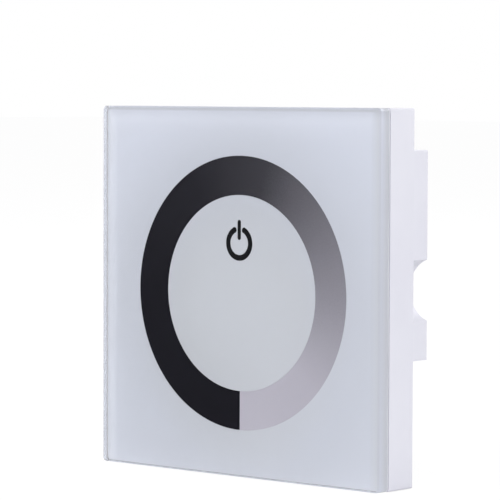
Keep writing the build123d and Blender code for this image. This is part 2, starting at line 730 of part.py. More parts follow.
pieces = [
    glass_panel,
    white_backing_film,
    dial_ring_print,
    power_symbol_print,
    adhesive_tape,
    front_frame,
    touch_board,
    touch_electrodes,
    touch_controller,
    touch_board_resistors,
    touch_board_capacitors,
    pin_header,
    header_pins,
    mounting_plate,
    rear_housing,
    power_board,
    socket_header,
    socket_contacts,
    power_inductor,
    protection_diode,
    voltage_regulator,
    microcontroller,
    board_capacitors,
    board_resistors,
    terminal_contacts,
    board_screws,
    housing_screws,
]
pieces += filter_capacitors + power_transistors + terminal_blocks + clamp_cages + terminal_screws

os.makedirs("parts", exist_ok=True)
for piece in pieces:
    export_step(piece.part, f"parts/{piece.part.label}.step")
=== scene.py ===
import math

import bmesh
import bpy
from mathutils import Matrix, Vector


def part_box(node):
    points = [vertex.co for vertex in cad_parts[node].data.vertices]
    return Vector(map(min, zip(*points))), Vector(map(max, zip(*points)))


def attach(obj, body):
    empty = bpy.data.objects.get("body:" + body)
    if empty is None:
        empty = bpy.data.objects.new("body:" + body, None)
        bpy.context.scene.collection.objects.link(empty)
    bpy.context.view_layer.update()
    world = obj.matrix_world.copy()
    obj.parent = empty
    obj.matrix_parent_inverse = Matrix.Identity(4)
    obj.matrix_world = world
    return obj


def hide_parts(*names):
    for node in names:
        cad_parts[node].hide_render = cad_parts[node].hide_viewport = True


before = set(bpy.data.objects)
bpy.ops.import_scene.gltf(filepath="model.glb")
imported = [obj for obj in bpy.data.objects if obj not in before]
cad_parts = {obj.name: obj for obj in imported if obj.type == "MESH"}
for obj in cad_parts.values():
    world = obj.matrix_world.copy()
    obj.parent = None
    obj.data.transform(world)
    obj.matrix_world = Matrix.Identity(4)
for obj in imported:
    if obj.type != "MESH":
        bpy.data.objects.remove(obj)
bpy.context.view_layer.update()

# Lengths are in metres: x to the right and z up from the panel's middle, y to the back from the wall plane
MM = 0.001

# Glass
PANEL_HALF = 43.0 * MM
PANEL_CORNER = 1.0 * MM
GLASS_FRONT = -12.5 * MM
GLASS_SEAT = -9.2 * MM
GLASS_FRONT_ARRIS = 0.35 * MM
GLASS_BACK_ARRIS = 0.15 * MM
GLASS_IOR = 1.52

# White film, its tones painted with light and shade: how far its middle of painted shade and its rim of
# painted shade sit below the panel's middle, how much narrower the rim is at the sides, how far the mottle
# shifts the tones, from where to where each tone fades in, and how much of two of them shows
SHADED_MIDDLE_DROP = 9.0 * MM
RIM_DROP = 0.3 * MM
RIM_NARROWER = 0.35 * MM
MOTTLE_SHIFT = (-1.5 * MM, 1.5 * MM)
WHITE_FADE = (20 * MM, 34 * MM)
BORDER_GLOW_FADE = (38 * MM, 56 * MM)
EDGE_LIGHT_SIDES_FADE = (39.4 * MM, 42 * MM)
EDGE_LIGHT_TOP_FADE = (38 * MM, 42 * MM)
RIGHT_SHADE_FADE = (38.8 * MM, 41.4 * MM)
RIM_SHADE_FADE = (42.2 * MM, 42.6 * MM)
CUT_SIDE_LIGHT_FADE = (GLASS_SEAT - 0.04 * MM, GLASS_SEAT - 0.02 * MM)
EDGE_LIGHT_TOP_SHARE = 0.35
RIGHT_SHADE_SHARE = 0.8

# Dial: how far its middle lies below the panel's, how far its screen blurs the turn, the cast that its greys
# have, and the greys themselves by the turn from the bottom, clockwise
DIAL_DROP = 0.3 * MM
SCREEN_BLUR = (-0.006, 0.006)
DIAL_GREEN = 0.96
DIAL_BLUE = 1.08
DIAL_BLUE_LIFT = 0.004
DIAL_GREYS = (
    (0.0, 0.01),
    (0.25, 0.012),
    (0.42, 0.022),
    (0.54, 0.055),
    (0.64, 0.178),
    (0.75, 0.318),
    (0.87, 0.525),
    (1.0, 0.58),
)

# Touch board, with its capacitors' places in millimetres
TOUCH_BOARD_BACK = -7.6 * MM
TOUCH_CHIP_Z = 6.0 * MM
HEADER_Z = -12.0 * MM
PIN_PITCH = 2.54 * MM
LEG_PITCH = 1.27 * MM
PAD_ANGLES = [math.radians(22.5 + 45 * number) for number in range(8)]
PAD_SPOT_CIRCLE = 27.0 * MM
RESISTOR_CIRCLE = 17.5 * MM
TOUCH_CAPACITORS = ((-8.0, 4.25), (-8.0, 7.75), (8.0, 4.25), (8.0, 7.75))

# Tracks of the touch board: their height and widths, the spots at the pads, how far from the middle of a
# resistor and of the chip they end, how far they run straight from the chip's legs (further by a step from
# the inner legs), and how high above the header the plug's ones start, bend and straighten
TRACK_HEIGHT = 0.03 * MM
TRACK_LEVEL = TOUCH_BOARD_BACK + TRACK_HEIGHT / 2
PAD_TRACK = 0.3 * MM
LEG_TRACK = 0.25 * MM
PLUG_TRACK = 0.28 * MM
SPOT_RADIUS = 0.5 * MM
SPOT_TAPER = 0.96
RESISTOR_END = 1.1 * MM
LEG_END = 2.8 * MM
PLUG_LEG_END = 2.9 * MM
KNEE_RISE = 1.2 * MM
KNEE_STEP = 0.8 * MM
PLUG_RISES = (1.3 * MM, 3.2 * MM, 8.5 * MM)

# Hatched copper of the touch board: its pitch, the share that the lines take, and where it stays clear
HATCH_PITCH = 1.8 * MM
HATCH_SHARE = 0.22
HATCH_FREE_RADIUS = 20.0 * MM
SPOKE_CLEARANCE = 1.4 * MM

# Power board, with its small parts' places in millimetres
POWER_BOARD_BACK = 5.3 * MM
ZONE_LENGTH = 11 * MM
ZONE_HEIGHT = 6 * MM
ZONE_GAP = 0.3 * MM
BOARD_CAPACITORS = ((0.5, 9.0), (4.5, 9.0), (-5.5, 24.5), (5.5, -8.2), (5.5, -10.2))
BOARD_RESISTORS = ((-1.5, 24.5), (2.5, 24.5), (6.5, 24.5), (-0.5, -8.5), (2.8, -8.5), (8.0, 9.0))

# Chip resistors and capacitors: length, width and height, the share of the length in each end, the rounding
# of the ends, and the shares of their height and width that the body between them has
RESISTOR_SIZE = (1.6 * MM, 0.8 * MM, 0.5 * MM)
CAPACITOR_SIZE = (2.0 * MM, 1.25 * MM, 0.9 * MM)
END_SHARE = 0.18
END_ROUNDING = 0.06 * MM
BODY_HEIGHT = 0.94
BODY_WIDTH = 0.96

# Chip packages: where the middle of each body is, how far the body reaches up and down from it, and the
# dimples that mark the first legs, with their relief in heights of the grain
TOUCH_CHIP_HALF = 1.95 * MM
TOUCH_CHIP_DIMPLE = (-4.2 * MM, 0, 4.7 * MM)
TRANSISTOR_Z = (13.5 * MM, 23.5 * MM)
TRANSISTOR_HALF = 3.0 * MM
DIODE_Z = 24.0 * MM
DIODE_HALF = 3.5 * MM
REGULATOR_Z = -9.6 * MM
REGULATOR_HALF = 1.75 * MM
CONTROLLER_Z = 16.5 * MM
CONTROLLER_HALF = 3.75 * MM
CONTROLLER_DIMPLE = (-3.4 * MM, 0, 13.8 * MM)
DIMPLE_RADIUS = 0.3 * MM
DIMPLE_SLOPE = 0.06 * MM
DIMPLE_RELIEF = 6.0

# Capacitor cans: their places, and in radians half the width of the pale stripe and of its dashes
CAN_X = -12.0 * MM
CAN_Z = (6.5 * MM, -4.5 * MM)
CAN_END = 22.1 * MM
CAN_BARE_RADIUS = 4.4 * MM
CAN_BARE_DEPTH = 0.5 * MM
CAN_BARE_EDGE = 0.05 * MM
STRIPE_HALF = 0.42
DASH_HALF = 0.16
STRIPE_BLUR = 0.02
DASH_PITCH = 3.0 * MM

# Screws, and how dark the painted shade in their driver recesses gets
CLAMP_SCREW_TOP = 16.9 * MM
HOUSING_SCREW_TOP = -3.6 * MM
HOUSING_SCREW_X = 23.4 * MM
HOUSING_SCREW_Z = 28.9 * MM
RECESS_RADIUS = 1.5 * MM
RECESS_DEPTH = 0.6 * MM
SLOT_LIP = 0.15 * MM
CROSS_LIP = 0.1 * MM
RECESS_SHADE = 0.85

# Colours, as linear values
HOUSING_WHITE = (0.80, 0.80, 0.875, 1)
HOUSING_SHADE = (0.765, 0.765, 0.845, 1)
PLATE_WHITE = (0.77, 0.77, 0.82, 1)
PLATE_SHADE = (0.73, 0.73, 0.78, 1)
HEADER_BLACK = (0.016, 0.016, 0.017, 1)
HEADER_SHADE = (0.024, 0.024, 0.025, 1)
TERMINAL_GREEN = (0.012, 0.26, 0.11, 1)
TERMINAL_SHADE = (0.01, 0.22, 0.09, 1)
# Film tones paint light and shade: shaded middle, right side and rim; lit border, sides, top and cut sides
FILM_SHADED_MIDDLE = (0.658, 0.675, 0.722, 1)
FILM_WHITE = (0.665, 0.686, 0.758, 1)
FILM_BORDER_GLOW = (0.71, 0.733, 0.818, 1)
FILM_EDGE_LIGHT = (0.8, 0.82, 0.895, 1)
FILM_RIGHT_SHADE = (0.6, 0.615, 0.66, 1)
FILM_RIM_SHADE = (0.65, 0.665, 0.715, 1)
FILM_CUT_SIDE_LIGHT = (0.86, 0.875, 0.92, 1)
SYMBOL_BLACK = (0.009, 0.009, 0.011, 1)
SYMBOL_SHADE = (0.013, 0.013, 0.015, 1)
TAPE_PORE = (0.8, 0.8, 0.82, 1)
TAPE_WHITE = (0.88, 0.88, 0.9, 1)
GLASS_CLEAR = (0.975, 0.985, 0.985, 1)
GLASS_GROUND = (0.77, 0.77, 0.79, 1)
GLASS_ARRIS = (0.32, 0.32, 0.34, 1)
GLASS_SHADOW = (0.96, 0.965, 0.965, 1)
MASK_GREEN = (0.012, 0.13, 0.045, 1)
MASK_SHADE = (0.015, 0.15, 0.052, 1)
MASK_OVER_COPPER = (0.03, 0.235, 0.085, 1)
MASK_OVER_TRACK = (0.035, 0.27, 0.1, 1)
MASK_OVER_TRACK_PALE = (0.05, 0.32, 0.12, 1)
LAMINATE = (0.42, 0.36, 0.16, 1)
EPOXY_BLACK = (0.018, 0.018, 0.02, 1)
EPOXY_SHADE = (0.03, 0.03, 0.033, 1)
EPOXY_DIMPLE = (0.055, 0.055, 0.06, 1)
RESISTOR_BLACK = (0.012, 0.012, 0.013, 1)
RESISTOR_SHADE = (0.02, 0.02, 0.022, 1)
CERAMIC_BROWN = (0.36, 0.24, 0.13, 1)
CERAMIC_SHADE = (0.31, 0.2, 0.105, 1)
FERRITE_GREY = (0.045, 0.045, 0.05, 1)
FERRITE_SPECK = (0.12, 0.12, 0.13, 1)
SLEEVE_BLUE = (0.015, 0.02, 0.05, 1)
STRIPE_GREY = (0.5, 0.53, 0.56, 1)
ALUMINIUM = (0.75, 0.76, 0.78, 1)
TIN = (0.68, 0.68, 0.67, 1)
GOLD = (0.83, 0.6, 0.25, 1)
CONTACT_TIN = (0.7, 0.68, 0.62, 1)
COPPER = (0.85, 0.6, 0.36, 1)
ZINC = (0.58, 0.6, 0.63, 1)
# Painted shade, with grime, for the screws' driver recesses
GRIME_AND_SHADE = (0.07, 0.07, 0.075, 1)
GRIME_AND_SHADE_ROUGHNESS = (0.7, 0.7, 0.7, 1)
FLOOR_PALE = (0.76, 0.76, 0.77, 1)
FLOOR_PALER = (0.8, 0.8, 0.81, 1)
WHITE = (1, 1, 1, 1)

# Most of a noise texture lies between these values
NOISE_RANGE = (0.3, 0.7)

# Studio: the floor, how white it glows to the camera and how much of that shows, the light from all round,
# and the lamps with their places and powers
FLOOR_LEVEL = -43.2 * MM
FLOOR_HALF = 6.0
FLOOR_GLOW = 1.1
FLOOR_GLOW_SHARE = 0.8
SOFT_LIGHT = 0.62
LAMP_SIZE = 0.7
LAMPS = (
    ("key_lamp", (-0.5, -0.9, 0.9), 6.5),
    ("side_lamp", (1.1, -0.1, 0.5), 4.0),
    ("back_lamp", (0.3, 1.1, 0.7), 3.0),
)

# Dark end of the studio, which shows only mirrored in gloss: its heading, how well another heading has to
# agree with that for it to start and to be full, its level, and the place that the floor's headings are
# taken from
DARK_END = (-0.66, -0.75, 0)
DARK_FADE = (0.2, 0.9)
DARK_LEVEL = 0.1
BEHIND_OBJECT = (0.053, 0.06, 0)

# Camera: azimuth, elevation and roll in degrees, the point it aims at, and its lens in millimetres
CAMERA_ANGLES = (41.44, 3.18, 0.19)
CAMERA_AIM = Vector((-0.98, -6.2, 9.55)) * MM
CAMERA_DISTANCE = 0.681
CAMERA_LENS = 209.71


# Node helpers


def feed(material, socket, value):
    """Links a socket to another's output, or sets it to a plain value."""
    if isinstance(value, bpy.types.NodeSocket):
        material.node_tree.links.new(value, socket)
    else:
        socket.default_value = value


def add_node(material, kind, inputs=None, **settings):
    made = material.node_tree.nodes.new("ShaderNode" + kind)
    for name, value in settings.items():
        setattr(made, name, value)
    for name, value in (inputs or {}).items():
        feed(material, made.inputs[name], value)
    return made


def new_finish(name):
    """A fresh node material, its shader and the Object coordinates."""
    material = bpy.data.materials.new(name)
    material.use_nodes = True
    shader = material.node_tree.nodes["Principled BSDF"]
    place = add_node(material, "TexCoord").outputs["Object"]
    return material, shader, place


def noise(material, place, scale, detail=2.0, rough=0.5):
    inputs = {"Vector": place, "Scale": scale, "Detail": detail, "Roughness": rough}
    return add_node(material, "TexNoise", inputs).outputs["Fac"]


def cells(material, place, scale):
    inputs = {"Vector": place, "Scale": scale}
    return add_node(material, "TexVoronoi", inputs).outputs["Distance"]


def spread(material, value, old, new=(0, 1)):
    """Stretches one range of values to another, and holds it at the ends."""
    inputs = {"Value": value, "From Min": old[0], "From Max": old[1], "To Min": new[0], "To Max": new[1]}
    return add_node(material, "MapRange", inputs).outputs["Result"]


def blend_colours(material, share, first, second):
    made = add_node(material, "Mix", {0: share, 6: first, 7: second}, data_type="RGBA")
    return made.outputs[2]


def work(material, operation, *values):
    return add_node(material, "Math", dict(enumerate(values)), operation=operation).outputs[0]


def vector_work(material, operation, *values):
    return add_node(material, "VectorMath", dict(enumerate(values)), operation=operation).outputs


def bumps(material, height, distance, strength):
    inputs = {"Height": height, "Distance": distance, "Strength": strength}
    return add_node(material, "Bump", inputs).outputs["Normal"]


def axes_of(material, place):
    split = add_node(material, "SeparateXYZ", {0: place}).outputs
    return split["X"], split["Y"], split["Z"]


def distance_from_middle(material, x, z):
    squares = work(material, "ADD", work(material, "MULTIPLY", x, x), work(material, "MULTIPLY", z, z))
    return work(material, "SQRT", squares)


def outside(material, value, low, high):
    """1 where value lies outside low to high, 0 inside."""
    blur = 0.01 * MM
    below = spread(material, value, (low, low - blur))
    above = spread(material, value, (high, high + blur))
    return work(material, "MAXIMUM", below, above)


def dress(material, shader, colour, roughness, normal):
    """Sets what most finishes set: the colour, the roughness and the relief."""
    feed(material, shader.inputs["Base Color"], colour)
    feed(material, shader.inputs["Roughness"], roughness)
    feed(material, shader.inputs["Normal"], normal)


def mix_shaders(material, share, first, second):
    return add_node(material, "MixShader", {0: share, 1: first, 2: second}).outputs[0]


def show(material, surface):
    feed(material, material.node_tree.nodes["Material Output"].inputs["Surface"], surface)


# Finishes


def moulded_plastic(name, colour, shade, roughness, grain, grain_height):
    """Moulded plastic with a spark-eroded grain, faint flow marks and uneven gloss."""
    material, shader, place = new_finish(name)
    flow = noise(material, place, 38.0, detail=3.0, rough=0.6)
    texture = noise(material, place, grain, detail=3.0, rough=0.55)
    tone = blend_colours(material, spread(material, flow, (0.35, 0.7)), colour, shade)
    uneven = spread(material, texture, NOISE_RANGE, (roughness - 0.06, roughness + 0.08))
    dress(material, shader, tone, uneven, bumps(material, texture, grain_height, 0.6))
    return material


def plated_metal(name, colour, roughness, scale, recess=None):
    """Plated metal with tumbled marks, dull spots and a soft ripple, with painted shade and grime, dark and
    dull, in a driver's recess.
    """
    material, shader, place = new_finish(name)
    marks = noise(material, place, scale, detail=4.0, rough=0.65)
    spots = spread(material, cells(material, place, scale * 0.6), (0.1, 0.7), (1, 0))
    dull = tuple(0.8 * part for part in colour[:3]) + (1,)
    tone = blend_colours(material, spots, colour, dull)
    uneven = spread(material, marks, NOISE_RANGE, (roughness - 0.08, roughness + 0.12))
    if recess:
        # Painted shade, with grime, darkens and dulls the driver's recess
        inside = recess(material, place)
        tone = blend_colours(material, inside, tone, GRIME_AND_SHADE)
        uneven = blend_colours(material, inside, uneven, GRIME_AND_SHADE_ROUGHNESS)
    dress(material, shader, tone, uneven, bumps(material, marks, 0.01 * MM, 0.35))
    shader.inputs["Metallic"].default_value = 1.0
    return material


def screw_slot(material, place):
    """How much painted shade a place gets by how deep it lies in the slot of a clamp screw, which opens to
    the back.
    """
    _, y, _ = axes_of(material, place)
    limits = (CLAMP_SCREW_TOP - RECESS_DEPTH, CLAMP_SCREW_TOP - SLOT_LIP)
    return spread(material, y, limits, (RECESS_SHADE, 0))


def screw_cross(material, place):
    """How much painted shade a place gets by how deep it lies in the cross recess of a housing screw, which
    opens to the front.
    """
    x, y, z = axes_of(material, place)
    aside = work(material, "SUBTRACT", work(material, "ABSOLUTE", x), HOUSING_SCREW_X)
    above = work(material, "SUBTRACT", work(material, "ABSOLUTE", z), HOUSING_SCREW_Z)
    near = work(material, "LESS_THAN", distance_from_middle(material, aside, above), RECESS_RADIUS)
    limits = (HOUSING_SCREW_TOP + CROSS_LIP, HOUSING_SCREW_TOP + RECESS_DEPTH)
    return work(material, "MULTIPLY", near, spread(material, y, limits, (0, RECESS_SHADE)))


def float_glass(name, tint, roughness):
    """Clear float glass that lets the lamps through to what lies behind it."""
    material, shader, place = new_finish(name)
    smears = noise(material, place, 90.0, detail=3.0, rough=0.6)
    smeared = spread(material, smears, (0.4, 0.8), (roughness, roughness * 1.4 + 0.01))
    ripple = noise(material, place, 24.0, detail=1.0)
    dress(material, shader, tint, smeared, bumps(material, ripple, 0.004 * MM, 0.3))
    shader.inputs["Transmission Weight"].default_value = 1.0
    shader.inputs["IOR"].default_value = GLASS_IOR
    clear = add_node(material, "BsdfTransparent", {0: GLASS_SHADOW}).outputs[0]
    to_lamp = add_node(material, "LightPath").outputs["Is Shadow Ray"]
    show(material, mix_shaders(material, to_lamp, shader.outputs[0], clear))
    return material


def print_surface(material, shader, colour, grain):
    """Sets a print's colour and roughness. Bonded behind the glass, it has no gloss of its own."""
    feed(material, shader.inputs["Base Color"], colour)
    feed(material, shader.inputs["Roughness"], spread(material, grain, NOISE_RANGE, (0.45, 0.6)))
    shader.inputs["Specular IOR Level"].default_value = 0.0


def white_film():
    """White print layer with a faint mottle and a fine grain, with light and shade painted into its colour:
    painted shade in the middle, a painted glow towards the border, painted light at the sides and the top,
    painted shade along the right and at the rim, and painted light on its cut sides."""
    material, shader, place = new_finish("white_print")
    x, y, z = axes_of(material, place)
    aside = work(material, "ABSOLUTE", x)
    above = work(material, "ABSOLUTE", work(material, "ADD", z, RIM_DROP))
    to_rim = work(material, "MAXIMUM", work(material, "SUBTRACT", aside, RIM_NARROWER), above)
    mottle = spread(material, noise(material, place, 26.0), NOISE_RANGE, MOTTLE_SHIFT)
    radius = distance_from_middle(material, x, work(material, "ADD", z, SHADED_MIDDLE_DROP))
    radius = work(material, "ADD", radius, mottle)
    lit_top = spread(material, z, EDGE_LIGHT_TOP_FADE, (0, EDGE_LIGHT_TOP_SHARE))
    edge_light = work(material, "MAXIMUM", spread(material, aside, EDGE_LIGHT_SIDES_FADE), lit_top)
    colour = FILM_SHADED_MIDDLE
    # Each tone past the first paints light or shade into the white print
    for share, tone in (
        (spread(material, radius, WHITE_FADE), FILM_WHITE),
        (spread(material, radius, BORDER_GLOW_FADE), FILM_BORDER_GLOW),
        (edge_light, FILM_EDGE_LIGHT),
        (spread(material, x, RIGHT_SHADE_FADE, (0, RIGHT_SHADE_SHARE)), FILM_RIGHT_SHADE),
        (spread(material, to_rim, RIM_SHADE_FADE), FILM_RIM_SHADE),
        (spread(material, y, CUT_SIDE_LIGHT_FADE), FILM_CUT_SIDE_LIGHT),
    ):
        colour = blend_colours(material, share, colour, tone)
    grain = noise(material, place, 1800.0)
    print_surface(material, shader, colour, grain)
    feed(material, shader.inputs["Normal"], bumps(material, grain, 0.005 * MM, 0.3))
    return material


def dial_print():
    """Ring print that runs clockwise from black at the bottom to pale grey, with a fine screen."""
    material, shader, place = new_finish("dial_print")
    x, _, z = axes_of(material, place)
    below = work(material, "SUBTRACT", -DIAL_DROP, z)
    angle = work(material, "ARCTAN2", work(material, "MULTIPLY", x, -1.0), below)
    turn = work(material, "ADD", work(material, "DIVIDE", angle, 2 * math.pi), 1.0)
    turn = work(material, "FRACT", turn)
    screen = noise(material, place, 2600.0, detail=1.0)
    turn = work(material, "ADD", turn, spread(material, screen, NOISE_RANGE, SCREEN_BLUR))
    ramp = add_node(material, "ValToRGB", {0: turn})
    points = ramp.color_ramp.elements
    for number, (position, grey) in enumerate(DIAL_GREYS):
        point = points[number] if number < 2 else points.new(position)
        point.position = position
        point.color = (grey, grey * DIAL_GREEN, grey * DIAL_BLUE + DIAL_BLUE_LIFT, 1)
    print_surface(material, shader, ramp.outputs[0], screen)
    return material


def symbol_print():
    """Black print with a fine grain."""
    material, shader, place = new_finish("symbol_print")
    grain = noise(material, place, 2600.0)
    print_surface(material, shader, blend_colours(material, grain, SYMBOL_BLACK, SYMBOL_SHADE), grain)
    return material


def foam_tape():
    """White foam tape with fine pores."""
    material, shader, place = new_finish("tape")
    pores = cells(material, place, 4200.0)
    colour = blend_colours(material, spread(material, pores, (0.0, 0.6)), TAPE_PORE, TAPE_WHITE)
    dress(material, shader, colour, 0.85, bumps(material, pores, 0.03 * MM, 0.6))
    return material


def hatched_ground(material, x, z):
    """1 on the touch board's hatched copper: crossed lines outside the middle, clear of the spokes."""
    lines = []
    for operation in ("ADD", "SUBTRACT"):
        across = work(material, "DIVIDE", work(material, operation, x, z), HATCH_PITCH)
        lines.append(work(material, "LESS_THAN", work(material, "FRACT", across), HATCH_SHARE))
    hatch = work(material, "MAXIMUM", *lines)
    radius = distance_from_middle(material, x, z)
    eighths = work(material, "DIVIDE", work(material, "ARCTAN2", z, x), math.pi / 4)
    off_spoke = work(material, "ABSOLUTE", work(material, "SUBTRACT", work(material, "FRACT", eighths), 0.5))
    clear = work(material, "GREATER_THAN", work(material, "MULTIPLY", radius, off_spoke), SPOKE_CLEARANCE)
    outer = work(material, "GREATER_THAN", radius, HATCH_FREE_RADIUS)
    return work(material, "MULTIPLY", work(material, "MULTIPLY", hatch, clear), outer)


def copper_zones(material, x, z):
    """1 on the power board's copper: oblong zones with clear gaps between them."""
    inputs = {
        "Vector": add_node(material, "CombineXYZ", {0: x, 1: z}).outputs[0],
        "Scale": 1.0,
        "Brick Width": ZONE_LENGTH,
        "Row Height": ZONE_HEIGHT,
        "Mortar Size": ZONE_GAP,
        "Mortar Smooth": 0.0,
    }
    zones = add_node(material, "TexBrick", inputs, offset=0.37)
    return work(material, "SUBTRACT", 1.0, zones.outputs["Fac"])


def circuit_board(node, copper):
    """Green solder mask, paler where it lies over copper, with bare laminate at the cut edges."""
    material, shader, place = new_finish(node)
    x, _, z = axes_of(material, place)
    low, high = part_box(node)
    rim_width = 0.02 * MM
    beside = outside(material, x, low.x + rim_width, high.x - rim_width)
    beyond = outside(material, z, low.z + rim_width, high.z - rim_width)
    rim = work(material, "MAXIMUM", beside, beyond)
    weave = noise(material, place, 900.0)
    laid = copper(material, x, z)
    mask = blend_colours(material, spread(material, weave, NOISE_RANGE), MASK_GREEN, MASK_SHADE)
    mask = blend_colours(material, laid, mask, MASK_OVER_COPPER)
    colour = blend_colours(material, rim, mask, LAMINATE)
    weave_height = work(material, "MULTIPLY", weave, 0.4)
    height = work(material, "ADD", weave_height, laid)
    roughness = spread(material, rim, (0, 1), (0.28, 0.8))
    dress(material, shader, colour, roughness, bumps(material, height, 0.02 * MM, 0.5))
    return material


def solder_mask_track():
    """Solder mask where it lies over a copper track."""
    material, shader, place = new_finish("track_mask")
    weave = noise(material, place, 900.0)
    colour = blend_colours(material, weave, MASK_OVER_TRACK, MASK_OVER_TRACK_PALE)
    feed(material, shader.inputs["Base Color"], colour)
    feed(material, shader.inputs["Roughness"], spread(material, weave, NOISE_RANGE, (0.24, 0.34)))
    return material


def chip_package(name, middle, half, dimple_place=None):
    """Black moulded epoxy with tinned metal above and below it, and a dimple that marks the first leg."""
    material, shader, place = new_finish(name)
    x, _, z = axes_of(material, place)
    metal = outside(material, z, middle - half, middle + half)
    grain = noise(material, place, 2400.0, detail=3.0)
    moulded = blend_colours(material, grain, EPOXY_BLACK, EPOXY_SHADE)
    height = grain
    if dimple_place:
        flat_place = add_node(material, "CombineXYZ", {0: x, 2: z}).outputs[0]
        away = vector_work(material, "DISTANCE", flat_place, dimple_place)["Value"]
        dimple = spread(material, away, (DIMPLE_RADIUS, DIMPLE_RADIUS + DIMPLE_SLOPE), (1, 0))
        moulded = blend_colours(material, dimple, moulded, EPOXY_DIMPLE)
        height = work(material, "SUBTRACT", grain, work(material, "MULTIPLY", dimple, DIMPLE_RELIEF))
    colour = blend_colours(material, metal, moulded, TIN)
    roughness = spread(material, metal, (0, 1), (0.62, 0.3))
    dress(material, shader, colour, roughness, bumps(material, height, 0.012 * MM, 0.5))
    feed(material, shader.inputs["Metallic"], metal)
    return material


def sleeved_can(name, middle_z):
    """Sleeved capacitor can: a dark sleeve with a pale stripe of dashes, and a bare aluminium end."""
    material, shader, place = new_finish(name)
    x, y, z = axes_of(material, place)
    x = work(material, "SUBTRACT", x, CAN_X)
    z = work(material, "SUBTRACT", z, middle_z)
    bare_from = CAN_END - CAN_BARE_DEPTH
    at_end = spread(material, y, (bare_from, bare_from + CAN_BARE_EDGE))
    radius = distance_from_middle(material, x, z)
    in_rim = spread(material, radius, (CAN_BARE_RADIUS, CAN_BARE_RADIUS - CAN_BARE_EDGE))
    bare = work(material, "MULTIPLY", at_end, in_rim)
    angle = work(material, "ABSOLUTE", work(material, "ARCTAN2", z, x))
    stripe = spread(material, angle, (STRIPE_HALF, STRIPE_HALF - STRIPE_BLUR))
    pitches = work(material, "DIVIDE", y, DASH_PITCH)
    dashes = work(material, "LESS_THAN", work(material, "FRACT", pitches), 0.5)
    dashes = work(material, "MULTIPLY", dashes, spread(material, angle, (DASH_HALF, DASH_HALF - STRIPE_BLUR)))
    sleeve = blend_colours(material, stripe, SLEEVE_BLUE, STRIPE_GREY)
    sleeve = blend_colours(material, dashes, sleeve, SLEEVE_BLUE)
    colour = blend_colours(material, bare, sleeve, ALUMINIUM)
    ripple = noise(material, place, 700.0, detail=3.0)
    roughness = spread(material, ripple, NOISE_RANGE, (0.25, 0.4))
    dress(material, shader, colour, roughness, bumps(material, ripple, 0.01 * MM, 0.4))
    feed(material, shader.inputs["Metallic"], bare)
    return material


def pressed_ferrite():
    """Dark pressed ferrite with pale specks."""
    material, shader, place = new_finish("ferrite")
    grain = noise(material, place, 1600.0, detail=4.0, rough=0.7)
    specks = spread(material, cells(material, place, 1300.0), (0.0, 0.35))
    colour = blend_colours(material, specks, FERRITE_SPECK, FERRITE_GREY)
    roughness = spread(material, grain, NOISE_RANGE, (0.55, 0.8))
    dress(material, shader, colour, roughness, bumps(material, grain, 0.03 * MM, 0.6))
    return material


white_abs = moulded_plastic(
    "white_abs", HOUSING_WHITE, HOUSING_SHADE, roughness=0.38, grain=2600.0, grain_height=0.012 * MM
)
plate_plastic = moulded_plastic(
    "plate_plastic", PLATE_WHITE, PLATE_SHADE, roughness=0.5, grain=1900.0, grain_height=0.02 * MM
)
black_plastic = moulded_plastic(
    "black_plastic", HEADER_BLACK, HEADER_SHADE, roughness=0.45, grain=2400.0, grain_height=0.012 * MM
)
terminal_green = moulded_plastic(
    "terminal_green", TERMINAL_GREEN, TERMINAL_SHADE, roughness=0.36, grain=2100.0, grain_height=0.012 * MM
)
resistor_film = moulded_plastic(
    "chip_resistor", RESISTOR_BLACK, RESISTOR_SHADE, roughness=0.3, grain=3200.0, grain_height=0.006 * MM
)
capacitor_ceramic = moulded_plastic(
    "chip_capacitor", CERAMIC_BROWN, CERAMIC_SHADE, roughness=0.42, grain=3200.0, grain_height=0.01 * MM
)
polished_glass = float_glass("glass", GLASS_CLEAR, roughness=0.0)
ground_glass = float_glass("ground_edge", GLASS_GROUND, roughness=0.12)
arris_glass = float_glass("ground_arris", GLASS_ARRIS, roughness=0.3)
tin_ends = plated_metal("tin_ends", TIN, roughness=0.3, scale=1500.0)
pin_metal = plated_metal("pin_metal", GOLD, roughness=0.24, scale=1500.0)
contact_metal = plated_metal("contact_metal", CONTACT_TIN, roughness=0.3, scale=1300.0)
pad_copper = plated_metal("copper", COPPER, roughness=0.3, scale=1100.0)
zinc_steel = plated_metal("zinc_steel", ZINC, roughness=0.3, scale=1200.0)
clamp_metal = plated_metal("clamp_screw_metal", ZINC, roughness=0.3, scale=1200.0, recess=screw_slot)
housing_metal = plated_metal("housing_screw_metal", ZINC, roughness=0.3, scale=1200.0, recess=screw_cross)


# Pieces


def object_from(shape, name, materials):
    """Closes a bmesh into an object at the origin."""
    mesh = bpy.data.meshes.new(name)
    shape.to_mesh(mesh)
    shape.free()
    for material in materials:
        mesh.materials.append(material)
    made = bpy.data.objects.new(name, mesh)
    bpy.context.scene.collection.objects.link(made)
    return made


def piece_from(shape, name, materials, body, stands_for=()):
    """Closes a bmesh into a piece that rides on a body."""
    bmesh.ops.recalc_face_normals(shape, faces=shape.faces[:])
    made = object_from(shape, name, materials)
    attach(made, body)
    if stands_for:
        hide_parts(*stands_for)


def bevel_edges(shape, edges, width, segments):
    """Bevels edges. The new faces take the finish of their neighbours."""
    bmesh.ops.bevel(
        shape, geom=edges, offset=width, segments=segments, profile=0.5, affect="EDGES", material=-1
    )


